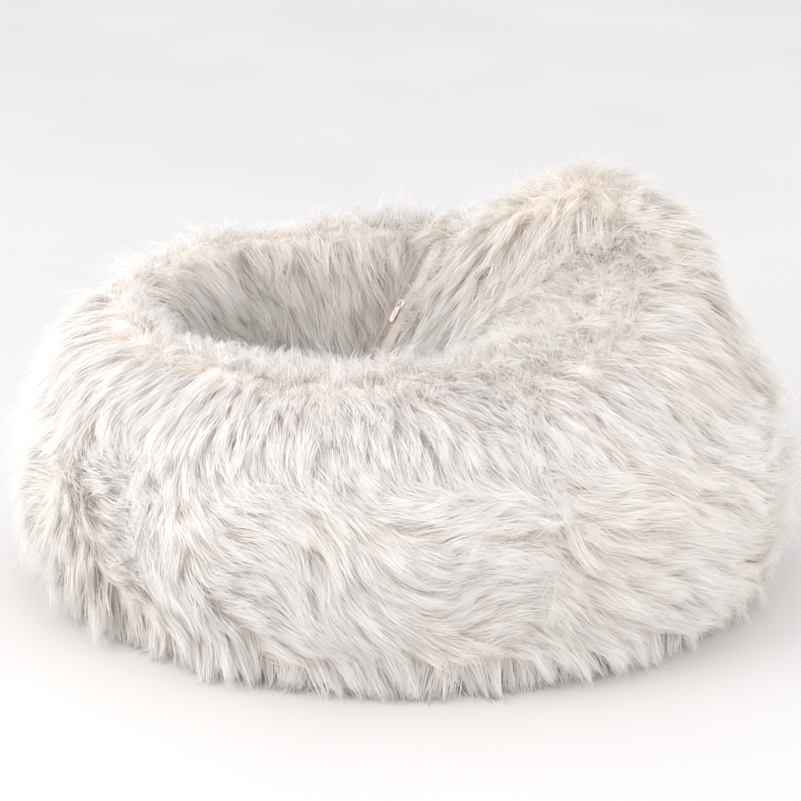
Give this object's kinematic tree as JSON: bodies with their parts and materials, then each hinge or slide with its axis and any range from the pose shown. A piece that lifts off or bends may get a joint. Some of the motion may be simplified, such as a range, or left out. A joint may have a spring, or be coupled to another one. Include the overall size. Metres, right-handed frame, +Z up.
{
  "type": "bean bag chair",
  "caption": "Round bean bag chair in long-pile faux fur, with a pressed-in seat hollow, a raised back lobe, a zipped cover and a bead-filled liner.",
  "frame": {"origin": "middle of the footprint's bounding box, on the floor", "axes": "+Z up; -X is the front, where the sitter's knees go; +X is the raised back; +Y is the sitter's right side"},
  "size_m": [0.9998, 0.86, 0.5312],
  "materials": {
    "faux_fur": "white long-pile faux fur on a knitted backing, pile about 55 mm",
    "base_fabric": "plain woven polyester, matte",
    "liner_fabric": "thin non-woven polyester, matte",
    "beads": "expanded polystyrene beads, about 4 mm",
    "zip_tape": "woven polyester tape, matte",
    "zip_coil": "nylon coil, satin",
    "zip_metal": "nickel-plated zinc, satin"
  },
  "bodies": {
    "bag": {"fur_gore_right": "faux_fur", "fur_gore_front_right": "faux_fur", "fur_gore_front": "faux_fur", "fur_gore_left": "faux_fur", "fur_gore_back_left": "faux_fur", "fur_gore_back_right": "faux_fur", "fur_seat_cap": "faux_fur", "base_panel": "base_fabric", "liner_bag": "liner_fabric", "bead_fill": "beads", "cover_zip_tape_left": "zip_tape", "cover_zip_coil_left": "zip_coil", "cover_zip_top_stop_left": "zip_metal", "cover_zip_tape_right": "zip_tape", "cover_zip_coil_right": "zip_coil", "cover_zip_top_stop_right": "zip_metal", "cover_zip_bottom_stop": "zip_metal", "liner_zip_tape_left": "zip_tape", "liner_zip_coil_left": "zip_coil", "liner_zip_top_stop_left": "zip_metal", "liner_zip_tape_right": "zip_tape", "liner_zip_coil_right": "zip_coil", "liner_zip_top_stop_right": "zip_metal", "liner_zip_bottom_stop": "zip_metal"},
    "cover_slider": {"cover_zip_slider": "zip_metal"},
    "cover_pull": {"cover_zip_pull": "zip_metal"},
    "liner_slider": {"liner_zip_slider": "zip_metal"}
  },
  "joints": [
    {"name": "cover_zip_travel", "type": "slide", "parent": "bag", "child": "cover_slider", "axis": [0.4481, 0.215, 0.8677], "range_m": [-0.078, 0.078]},
    {"name": "cover_pull_flip", "type": "hinge", "parent": "cover_slider", "child": "cover_pull", "pos_m": [-0.01425, 0.19787, 0.29628], "axis": [-0.816, 0.4948, 0.2988], "range_deg": [0, 170]},
    {"name": "liner_zip_travel", "type": "slide", "parent": "bag", "child": "liner_slider", "axis": [1, 0, 0], "range_m": [-0.142, 0.142]}
  ]
}
